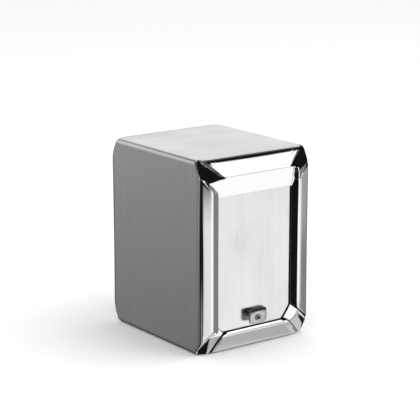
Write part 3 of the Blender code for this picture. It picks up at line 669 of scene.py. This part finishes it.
def build_carriage(end, sign):
    t, r = 0.8, 1.5
    lo, hi = sorted((sign * (PLATE_Y - 2.9), sign * (PLATE_Y - 11.6)))
    z0, z1 = HEAD_Z0 - 1.9, HEAD_Z1 + 1.3
    x1 = HEAD_X + 1.8
    shoe = [(-x1, z0), (-1.6, z0), (-1.6, HEAD_Z0 - GAP), (-HEAD_X - 0.4, HEAD_Z0 - GAP),
            (-HEAD_X - 0.4, HEAD_Z1 + GAP), (HEAD_X + 0.4, HEAD_Z1 + GAP), (HEAD_X + 0.4, HEAD_Z0 - GAP),
            (1.6, HEAD_Z0 - GAP), (1.6, z0), (x1, z0), (x1, z1), (-x1, z1)]
    verts, faces = prism(shoe, lo, hi, "y")
    obj = make_object(f"{end}_slide_and_tab", verts, faces, TAB)
    bevel(obj, 0.2, 2)
    # leg, strip and tab: one strip of sheet, from the side
    centre = [(LEG_Y1 + t / 2, z1 - 0.6), (LEG_Y1 + t / 2, TAB_Z1 - t / 2), (TAB_Y - t / 2, TAB_Z1 - t / 2),
              (TAB_Y - t / 2, TAB_FOOT)]

    def bent(offset):
        side = [(centre[0][0] + offset, centre[0][1])]
        for (cy, cz), start, way, rad in (((centre[1][0] + 0.8, centre[1][1] - 0.8), math.pi, -1, 0.8),
                                          ((centre[2][0] - r, centre[2][1] - r), math.pi / 2, -1, r)):
            for k in range(9):
                a = start + way * math.pi / 2 * k / 8
                side.append((cy + (rad - offset) * math.cos(a), cz + (rad - offset) * math.sin(a)))
        side.append((centre[3][0] - offset, centre[3][1]))
        return side

    side = bent(-t / 2) + bent(t / 2)[::-1]
    verts, faces = prism([(sign * a, b) for a, b in side], -TAB_X, TAB_X, "x")
    strip = make_object("strip", verts, faces, TAB)
    for s in (-1, 1):
        rr = 2.4
        arc = [(s * (TAB_X - rr + rr * math.sin(a)), TAB_FOOT + rr - rr * math.cos(a))
               for a in [math.pi / 2 * k / 10 for k in range(11)]]
        outline = arc + [(s * (TAB_X + 1), TAB_FOOT + rr), (s * (TAB_X + 1), TAB_FOOT - 1),
                         (s * (TAB_X - rr), TAB_FOOT - 1)]
        a, b = sorted((sign * (TAB_Y + 1), sign * (TAB_Y - t - 0.5)))
        v, f = prism(outline, a, b, "y")
        cut(strip, make_object("corner", v, f, TAB))
    a, b = sorted((sign * (TAB_Y + 1), sign * (LEG_Y1 - 1)))
    v, f = turned([(0, a), (1.6, a), (1.6, b), (0, b)], 40, 0, TAB_RIVET_Z, 1)
    cut(strip, make_object("bore", v, f, TAB))
    bevel(strip, 0.12, 2, 50)
    a, b = sorted((sign * (PLATE_Y - 10.6), sign * LEG_Y0))
    bridge = slab("bridge", (-5.5, a, z1 - 0.7), (5.5, b, z1 + 0.5), TAB)
    bevel(bridge, 0.15, 2)
    bm = bmesh.new()
    for part in (obj, strip, bridge):
        bm.from_mesh(part.data)
    bm.to_mesh(obj.data)
    bm.free()
    for part in (strip, bridge):
        bpy.data.objects.remove(part, do_unlink=True)
    obj.data.shade_smooth()
    obj.data.set_sharp_from_angle(angle=math.radians(40))
    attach(obj, f"{end}_pusher")
    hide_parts(f"{end}_carriage")

    front, back = TAB_Y + GAP * 0.2, LEG_Y1 - GAP * 0.2
    head = [(0, back - 0.5), (1.5, back - 0.5), (1.9, back - 0.35), (2.1, back), (1.2, back), (1.2, front)]
    head += [(2.1, front), (2.08, front + 0.25), (1.9, front + 0.45), (1.6, front + 0.55), (1.25, front + 0.5),
             (1.0, front + 0.3), (0.85, front), (0.8, front - 1.6), (0, front - 1.6)]
    v, f = turned(head, 40, 0, TAB_RIVET_Z, sign)
    rivet = make_object(f"{end}_hollow_rivet", v, f, TAB, 50)
    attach(rivet, f"{end}_pusher")
    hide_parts(f"{end}_tab_rivet")


def build_spring(end, sign, node_name):
    lo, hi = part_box(node_name)
    near, far = sorted((abs(lo.y) / MM, abs(hi.y) / MM))
    wire = 0.5
    radius = (hi.x - lo.x) / 2 / MM - wire
    axis_z = (lo.z + hi.z) / 2 / MM
    turns, steps, sides = 9, 40, 10
    total, closed = turns * steps, 0.75 * steps
    y0, y1 = near + wire, far - wire
    verts, faces = [], []
    for i in range(total + 1):
        a = 2 * math.pi * i / steps
        t = min(max((i - closed) / (total - 2 * closed), 0.0), 1.0)
        lead = 1.1 * wire * min(i, closed) / closed + 1.1 * wire * max(0.0, i - (total - closed)) / closed
        y = y0 + lead + (y1 - y0 - 2.2 * wire) * t
        for k in range(sides):
            b = 2 * math.pi * k / sides
            rr = radius + wire * math.cos(b)
            verts.append((rr * math.cos(a), sign * (y + wire * math.sin(b)), axis_z + rr * math.sin(a)))
    for i in range(total):
        for k in range(sides):
            j = (k + 1) % sides
            faces.append((i * sides + k, i * sides + j, (i + 1) * sides + j, (i + 1) * sides + k))
    faces += [tuple(range(sides)), tuple(total * sides + k for k in range(sides))[::-1]]
    obj = make_object(f"{end}_coil", verts, faces, SPRING, 60)
    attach(obj, "housing")
    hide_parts(node_name)
    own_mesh(obj)


for end, sign in (("front", -1), ("rear", 1)):
    build_plate(end, sign)
    build_carriage(end, sign)
    build_spring(end, sign, next(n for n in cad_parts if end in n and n.endswith("spring")))

# ------------------------------------------------------------------ stage
def emission(name, colour, strength):
    mat = bpy.data.materials.new(name)
    mat.use_nodes = True
    t = mat.node_tree
    t.nodes.clear()
    out = t.nodes.new("ShaderNodeOutputMaterial")
    em = t.nodes.new("ShaderNodeEmission")
    em.inputs["Color"].default_value = (*colour, 1)
    em.inputs["Strength"].default_value = strength
    t.links.new(em.outputs[0], out.inputs[0])
    return mat


def floor():
    mat = bpy.data.materials.new("floor_white")
    mat.use_nodes = True
    s = mat.node_tree.nodes["Principled BSDF"]
    s.inputs["Base Color"].default_value = (0.93, 0.93, 0.93, 1)
    s.inputs["Roughness"].default_value = 0.9
    s.inputs["Specular IOR Level"].default_value = 0.0
    mesh = bpy.data.meshes.new("floor")
    mesh.from_pydata([(-8, -8, 0), (12, -8, 0), (12, 12, 0), (-8, 12, 0)], [], [(0, 1, 2, 3)])
    mesh.materials.append(mat)
    obj = bpy.data.objects.new("floor", mesh)
    bpy.context.scene.collection.objects.link(obj)
    obj.location.z = -0.0002
    obj.visible_glossy = False
    return obj


def patch(az, el, az0, az1, el0, el1, soft_az=3.0, soft_el=3.0):
    """1 inside a window of directions, falling softly to 0 outside; degrees."""
    def edge(v, lo, hi, soft):
        return np.clip((v - lo) / soft + 0.5, 0, 1) * np.clip((hi - v) / soft + 0.5, 0, 1)
    a = (az - (az0 + az1) / 2 + 180) % 360 - 180
    half = (az1 - az0) / 2
    t = edge(a, -half, half, soft_az) * edge(el, el0, el1, soft_el)
    return t * t * (3 - 2 * t)


def studio(az, el):
    """The painted reflections: what the steel sees in each direction: az 0 is the front, 90 the right, 180 the
    back; degrees.
    """
    v = np.full_like(az, 0.008)
    layers = [
        # value, az0, az1, el0, el1, soft az, soft el
        (0.155, -179, -105, -50, 12, 12, 10),     # left and behind, low: grey
        (0.31, -179, -105, -17, 12, 12, 9),      # and lighter further up
        (0.46, -172, -120, 6, 22, 10, 6),
        (1.05, 112, 215, -6, 34, 14, 8),         # behind: white wall
        (0.14, 78, 160, 46, 68, 8, 4),           # high on the right: dark grey
        (0.80, -16, 10, 9, 19, 3, 2),            # front left: a card
        (0.75, -180, 220, 70, 95, 5, 4),         # overhead
        (0.45, -108, -72, -10, 60, 8, 10),       # far left
        (0.22, -60, 4, -40, -16.8, 6, 1.2),      # front left, low: dark grey
        (0.235, 51, 108, -30, -4, 2, 4),         # right: grey
        (0.38, 50.5, 57.5, -14.4, -6, 1.5, 2),
        (0.25, 50.5, 57.5, -21, -15.4, 2, 3),
        (0.62, 46, 130, -60, -30, 5, 4),         # floor on the right: light
        (0.48, 46.5, 60, -43.5, -37.5, 4, 3),
        (0.66, 17.5, 47, -46, -23, 2, 4),        # floor close in front
        (0.015, 8, 47, -62, -45.5, 4, 2),        # painted shadow: the object's own contact shadow on the floor, as its reflection; this row and the next
        (0.015, 40, 46, -52, -38, 2, 2),
        (0.86, 18.0, 34, -25, -12.6, 4, 2.5),    # the table in front, pale
        (1.14, 25.0, 51, -30, -6, 3, 3),
        (0.55, 24.5, 50, -6, 6, 2, 3),           # the wall's foot behind it
        (1.50, 30.5, 46.5, 6.0, 13.6, 1.5, 1.2), # front right: the softbox
    ]
    for value, a0, a1, e0, e1, sa, se in layers:
        t = patch(az, el, a0, a1, e0, e1, sa, se)
        v = v * (1 - t) + value * t
    return v


def dome():
    """A glowing sphere round the object, painted with a studio's reflections and seen only in its reflections.
    """
    cols, rows = 480, 240
    mesh = bpy.data.meshes.new("painted_reflection_dome")
    az = np.radians(np.arange(cols) * 360 / cols)
    el = np.radians(np.linspace(-89.9, 89.9, rows))
    A, E = np.meshgrid(az, el)
    R = 4.0
    X, Y, Z = R * np.cos(E) * np.sin(A), -R * np.cos(E) * np.cos(A), R * np.sin(E)
    verts = np.stack([X.ravel(), Y.ravel(), Z.ravel()], 1)
    faces = []
    for r in range(rows - 1):
        for c in range(cols):
            d = (c + 1) % cols
            faces.append((r * cols + c, r * cols + d, (r + 1) * cols + d, (r + 1) * cols + c))
    mesh.from_pydata(verts.tolist(), [], faces)
    # painted reflections: the brightness each direction shows in the steel, stored as the dome's glow
    v = studio((np.degrees(A) + 180) % 360 - 180, np.degrees(E)).ravel()
    attr = mesh.color_attributes.new("light", "FLOAT_COLOR", "POINT")
    attr.data.foreach_set("color", np.stack([v, v, v * 1.0, np.ones_like(v)], 1).ravel())
    mat = bpy.data.materials.new("painted_reflection_dome")
    mat.use_nodes = True
    t = mat.node_tree
    t.nodes.clear()
    out = t.nodes.new("ShaderNodeOutputMaterial")
    em = t.nodes.new("ShaderNodeEmission")
    vc = t.nodes.new("ShaderNodeVertexColor")
    vc.layer_name = "light"
    t.links.new(vc.outputs["Color"], em.inputs["Color"])
    t.links.new(em.outputs[0], out.inputs[0])
    mesh.materials.append(mat)
    obj = bpy.data.objects.new("painted_reflection_dome", mesh)
    obj.location = (0, 0, 0.06)
    bpy.context.scene.collection.objects.link(obj)
    obj.visible_camera = False
    obj.visible_diffuse = False
    obj.visible_shadow = False
    obj.visible_transmission = False
    return obj


floor()
dome()

world = bpy.data.worlds.new("studio")
bpy.context.scene.world = world
world.use_nodes = True
bg = world.node_tree.nodes.get("Background") or world.node_tree.nodes.new("ShaderNodeBackground")
bg.inputs["Color"].default_value = (1, 1, 1, 1)
bg.inputs["Strength"].default_value = 1.0


def area(name, location, target, size, power):
    data = bpy.data.lights.new(name, "AREA")
    data.shape = "SQUARE"
    data.size = size
    data.energy = power
    obj = bpy.data.objects.new(name, data)
    obj.location = location
    obj.rotation_euler = (Vector(target) - Vector(location)).to_track_quat("-Z", "Y").to_euler()
    obj.visible_glossy = False
    bpy.context.scene.collection.objects.link(obj)
    return obj


area("key", (0.5, -0.4, 1.1), (0, 0, 0.03), 1.0, 6.0)

# ------------------------------------------------------------------ camera
cam_data = bpy.data.cameras.new("camera")
cam_data.sensor_width = 36.0
cam_data.lens = 1600.0 / 420.0 * 36.0
cam = bpy.data.objects.new("camera", cam_data)
az, el, dist = math.radians(36.5), math.radians(13.8), 1.089
aim = Vector((0.0007, 0.0, 0.0823))
back = Vector((-math.sin(az) * math.cos(el), -math.cos(az) * math.cos(el), math.sin(el)))
cam.location = aim + back * dist
quat = (-back).to_track_quat("-Z", "Y")
cam.rotation_euler = quat.to_euler()
bpy.context.scene.collection.objects.link(cam)
bpy.context.scene.camera = cam
bpy.context.scene.view_settings.view_transform = "Standard"
bpy.context.scene.view_settings.look = "None"

# ------------------------------------------------------------------ the CAD nodes that stay
for name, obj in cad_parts.items():
    if obj.hide_render:
        continue
    if "pusher_plate" in name:
        mat = SATIN
    elif "carriage" in name or "tab_rivet" in name:
        mat = TAB
    elif "spring" in name and "seat" not in name or "clip" in name:
        mat = SPRING
    else:
        mat = ZINC
    obj.data.materials.clear()
    obj.data.materials.append(mat)
